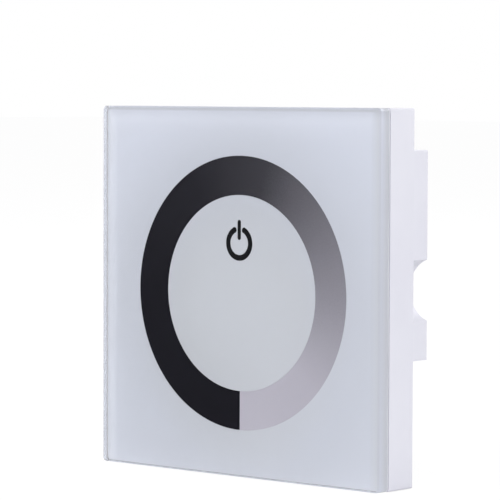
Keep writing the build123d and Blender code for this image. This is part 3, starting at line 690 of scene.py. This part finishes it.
def glass_pane():
    """Pane with rounded corners and ground arrises. Its back lies in the white film, as bonded glass does."""
    shape = bmesh.new()
    depth = GLASS_SEAT - GLASS_FRONT
    middle = (GLASS_SEAT + GLASS_FRONT) / 2
    size = Matrix.Diagonal((2 * PANEL_HALF, depth, 2 * PANEL_HALF, 1))
    bmesh.ops.create_cube(shape, size=1.0, matrix=Matrix.Translation((0, middle, 0)) @ size)
    corners = [e for e in shape.edges if abs(e.verts[0].co.y - e.verts[1].co.y) > depth / 2]
    bevel_edges(shape, corners, PANEL_CORNER, 6)
    for level, width in ((GLASS_FRONT, GLASS_FRONT_ARRIS), (GLASS_SEAT, GLASS_BACK_ARRIS)):
        rim = [e for e in shape.edges if all(abs(v.co.y - level) < 0.01 * MM for v in e.verts)]
        bevel_edges(shape, rim, width, 1)
    pane_finishes = (polished_glass, ground_glass, arris_glass)
    flat, sloping = 0.9, 0.1
    for face in shape.faces:
        if abs(face.normal.y) > flat:
            face_finish = polished_glass
        elif face.normal.y > sloping:
            face_finish = arris_glass
        else:
            face_finish = ground_glass
        face.material_index = pane_finishes.index(face_finish)
    piece_from(shape, "glass_pane", pane_finishes, "front_panel", ("glass_panel",))


def chip_box(shape, turn, size, finish_number):
    """Adds a box of a chip and returns its edges."""
    made = bmesh.ops.create_cube(shape, size=1.0, matrix=turn @ Matrix.Diagonal((*size, 1)))
    faces = {face for corner in made["verts"] for face in corner.link_faces}
    for face in faces:
        face.material_index = finish_number
    return list({edge for face in faces for edge in face.edges})


def chip_parts(name, kind, places, board, stands_for):
    """Chip resistors or capacitors: a slimmer body between two tinned ends with rounded edges."""
    (length, width, height), body_finish, slot = kind
    body, level = board
    end = END_SHARE * length
    shape = bmesh.new()
    for x, z, angle in places:
        turn = Matrix.Translation((x, level + height / 2, z)) @ Matrix.Rotation(-angle, 4, "Y")
        chip_box(shape, turn, (length - end, height * BODY_HEIGHT, width * BODY_WIDTH), 0)
        for side in (-1, 1):
            end_turn = turn @ Matrix.Translation((side * (length - end) / 2, 0, 0))
            edges = chip_box(shape, end_turn, (end, height, width), 1)
            bevel_edges(shape, edges, END_ROUNDING, 2)
    piece_from(shape, name, (body_finish, tin_ends), body, (stands_for,))


def on_circle(radius, angle):
    return radius * math.cos(angle), radius * math.sin(angle)


def lay_track(shape, points, width):
    """A track through points on the back of the touch board."""
    for (x0, z0), (x1, z1) in zip(points, points[1:]):
        length = math.hypot(x1 - x0, z1 - z0)
        place = Matrix.Translation(((x0 + x1) / 2, TRACK_LEVEL, (z0 + z1) / 2))
        turn = Matrix.Rotation(-math.atan2(z1 - z0, x1 - x0), 4, "Y")
        size = Matrix.Diagonal((length + width, TRACK_HEIGHT, width, 1))
        bmesh.ops.create_cube(shape, size=1.0, matrix=place @ turn @ size)


def lay_spot(shape, x, z):
    """A round spot where a track goes through the board to its pad."""
    place = Matrix.Translation((x, TRACK_LEVEL, z)) @ Matrix.Rotation(math.pi / 2, 4, "X")
    radii = {"radius1": SPOT_RADIUS, "radius2": SPOT_RADIUS * SPOT_TAPER}
    bmesh.ops.create_cone(shape, cap_ends=True, segments=16, depth=TRACK_HEIGHT, matrix=place, **radii)


def touch_board_tracks():
    """Copper tracks under the mask, from the pads over the resistors to the touch chip and on to the plug."""
    shape = bmesh.new()
    for number, angle in enumerate(PAD_ANGLES):
        spot = on_circle(PAD_SPOT_CIRCLE, angle)
        lay_track(shape, (spot, on_circle(RESISTOR_CIRCLE + RESISTOR_END, angle)), PAD_TRACK)
        lay_spot(shape, *spot)
        # The chip's outermost legs count 0 and those next to them 1
        from_outermost = min(number % 4, 3 - number % 4)
        side = 1 if math.sin(angle) > 0 else -1
        leg_x = math.copysign((3.5 - from_outermost) * LEG_PITCH, math.cos(angle))
        leg_z = TOUCH_CHIP_Z + side * LEG_END
        knee_z = leg_z + side * (KNEE_RISE + KNEE_STEP * from_outermost)
        inner = on_circle(RESISTOR_CIRCLE - RESISTOR_END, angle)
        lay_track(shape, ((leg_x, leg_z), (leg_x, knee_z), inner), LEG_TRACK)
    start, bend, straight = (HEADER_Z + rise for rise in PLUG_RISES)
    for number in range(6):
        pin_x = (number - 2.5) * PIN_PITCH
        leg_x = (number - 2.5) * LEG_PITCH
        way = ((pin_x, start), (pin_x, bend), (leg_x, straight), (leg_x, TOUCH_CHIP_Z - PLUG_LEG_END))
        lay_track(shape, way, PLUG_TRACK)
    piece_from(shape, "touch_board_tracks", (solder_mask_track(),), "front_panel")


def unturned(places):
    """Places in millimetres as places in metres with no turn."""
    return [(x * MM, z * MM, 0.0) for x, z in places]


def paint(node, material):
    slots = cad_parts[node].data.materials
    slots.clear()
    slots.append(material)


glass_pane()
touch_board_tracks()
resistor = (RESISTOR_SIZE, resistor_film, "chip_resistor")
capacitor = (CAPACITOR_SIZE, capacitor_ceramic, "chip_capacitor")
touch_side = ("front_panel", TOUCH_BOARD_BACK)
power_side = ("base", POWER_BOARD_BACK)
touch_resistors = [(*on_circle(RESISTOR_CIRCLE, angle), angle) for angle in PAD_ANGLES]
touch_capacitors = unturned(TOUCH_CAPACITORS)
power_capacitors = unturned(BOARD_CAPACITORS)
power_resistors = unturned(BOARD_RESISTORS)
chip_parts("touch_resistor_chips", resistor, touch_resistors, touch_side, "touch_board_resistors")
chip_parts("touch_capacitor_chips", capacitor, touch_capacitors, touch_side, "touch_board_capacitors")
chip_parts("power_capacitor_chips", capacitor, power_capacitors, power_side, "board_capacitors")
chip_parts("power_resistor_chips", resistor, power_resistors, power_side, "board_resistors")

finishes = {
    "dial_ring_print": dial_print(),
    "power_symbol_print": symbol_print(),
    "white_backing_film": white_film(),
    "adhesive_tape": foam_tape(),
    "front_frame": white_abs,
    "rear_housing": white_abs,
    "mounting_plate": plate_plastic,
    "touch_board": circuit_board("touch_board", hatched_ground),
    "touch_electrodes": pad_copper,
    "touch_controller": chip_package("touch_chip", TOUCH_CHIP_Z, TOUCH_CHIP_HALF, TOUCH_CHIP_DIMPLE),
    "pin_header": black_plastic,
    "header_pins": pin_metal,
    "power_board": circuit_board("power_board", copper_zones),
    "socket_header": black_plastic,
    "socket_contacts": contact_metal,
    "power_inductor": pressed_ferrite(),
    "protection_diode": chip_package("diode", DIODE_Z, DIODE_HALF),
    "voltage_regulator": chip_package("regulator", REGULATOR_Z, REGULATOR_HALF),
    "microcontroller": chip_package("microcontroller_chip", CONTROLLER_Z, CONTROLLER_HALF, CONTROLLER_DIMPLE),
    "input_terminal_block": terminal_green,
    "output_terminal_block": terminal_green,
    "terminal_contacts": contact_metal,
    "board_screws": zinc_steel,
    "housing_screws": housing_metal,
}
for number, z in enumerate(CAN_Z, start=1):
    finishes[f"filter_capacitor_{number}"] = sleeved_can(f"can_{number}", z)
for number, z in enumerate(TRANSISTOR_Z, start=1):
    finishes[f"power_transistor_{number}"] = chip_package(f"transistor_{number}", z, TRANSISTOR_HALF)
for number in range(1, 5):
    finishes[f"clamp_cage_{number}"] = zinc_steel
    finishes[f"terminal_screw_{number}"] = clamp_metal
for node, material in finishes.items():
    paint(node, material)


# Studio


def mirrored_level(material, heading):
    """How bright the studio mirrors in gloss, by heading: white, and dark at its dark end."""
    towards = vector_work(material, "DOT_PRODUCT", heading, DARK_END)["Value"]
    return spread(material, towards, DARK_FADE, (1.0, DARK_LEVEL))


def studio_floor():
    """A wide pale floor that keeps the shadow and otherwise shows as white."""
    material, shader, place = new_finish("floor")
    cloud = noise(material, place, 3.0)
    feed(material, shader.inputs["Base Color"], blend_colours(material, cloud, FLOOR_PALE, FLOOR_PALER))
    shader.inputs["Roughness"].default_value = 0.9
    path = add_node(material, "LightPath").outputs
    seen = work(material, "MAXIMUM", path["Is Camera Ray"], path["Is Transmission Ray"])
    glow = add_node(material, "Emission", {"Color": WHITE, "Strength": FLOOR_GLOW}).outputs[0]
    shown = mix_shaders(material, work(material, "MULTIPLY", seen, FLOOR_GLOW_SHARE), shader.outputs[0], glow)
    from_behind = vector_work(material, "SUBTRACT", place, BEHIND_OBJECT)["Vector"]
    heading = vector_work(material, "NORMALIZE", from_behind)["Vector"]
    mirrored = add_node(material, "Emission", {"Strength": mirrored_level(material, heading)}).outputs[0]
    only_gloss = work(material, "SUBTRACT", path["Is Glossy Ray"], path["Is Transmission Ray"])
    show(material, mix_shaders(material, only_gloss, shown, mirrored))
    shape = bmesh.new()
    level = Matrix.Translation((0, 0, FLOOR_LEVEL))
    bmesh.ops.create_grid(shape, x_segments=1, y_segments=1, size=FLOOR_HALF, matrix=level)
    floor = object_from(shape, "studio_floor", (material,))


def studio_world():
    """Soft even light all round. The camera and transmitted rays see a white backdrop, and so does gloss,
    except where the dark end of the studio mirrors in the front of the glass."""
    world = bpy.data.worlds.new("studio")
    bpy.context.scene.world = world
    world.use_nodes = True
    background = world.node_tree.nodes["Background"]
    background.inputs["Color"].default_value = WHITE
    path = add_node(world, "LightPath").outputs
    heading = add_node(world, "TexCoord").outputs["Generated"]
    mirrored = work(world, "MULTIPLY", path["Is Glossy Ray"], mirrored_level(world, heading))
    seen = work(world, "MAXIMUM", path["Is Camera Ray"], path["Is Transmission Ray"])
    white = work(world, "MAXIMUM", seen, path["Is Glossy Ray"])
    bright = work(world, "MAXIMUM", seen, mirrored)
    soft = work(world, "MULTIPLY", work(world, "SUBTRACT", 1.0, white), SOFT_LIGHT)
    feed(world, background.inputs["Strength"], work(world, "ADD", bright, soft))


def soft_lamp(name, place, power):
    """A square lamp that faces the object's middle."""
    lamp = bpy.data.lights.new(name, "AREA")
    lamp.shape = "SQUARE"
    lamp.size = LAMP_SIZE
    lamp.energy = power
    made = bpy.data.objects.new(name, lamp)
    made.location = place
    made.rotation_mode = "QUATERNION"
    made.rotation_quaternion = (-Vector(place)).to_track_quat("-Z", "Y")
    bpy.context.scene.collection.objects.link(made)


def photo_camera():
    """Camera at the photograph's place: right of the panel, a little above it, with a long lens."""
    azimuth, elevation, roll = (math.radians(angle) for angle in CAMERA_ANGLES)
    aside = math.sin(azimuth) * math.cos(elevation)
    before = math.cos(azimuth) * math.cos(elevation)
    back = Vector((aside, -before, math.sin(elevation)))
    level = Vector((math.cos(azimuth), math.sin(azimuth), 0))
    rise = back.cross(level)
    right = math.cos(roll) * level + math.sin(roll) * rise
    up = math.cos(roll) * rise - math.sin(roll) * level
    data = bpy.data.cameras.new("photo_camera")
    data.sensor_width = 36.0
    data.lens = CAMERA_LENS
    data.clip_start = 0.01
    data.clip_end = 50.0
    camera = bpy.data.objects.new("photo_camera", data)
    bpy.context.scene.collection.objects.link(camera)
    placed = Matrix((right, up, back)).transposed().to_4x4()
    placed.translation = CAMERA_AIM + CAMERA_DISTANCE * back
    camera.matrix_world = placed
    bpy.context.scene.camera = camera


studio_floor()
studio_world()
for lamp_name, lamp_place, lamp_power in LAMPS:
    soft_lamp(lamp_name, lamp_place, lamp_power)
photo_camera()
bpy.context.scene.view_settings.view_transform = "Standard"
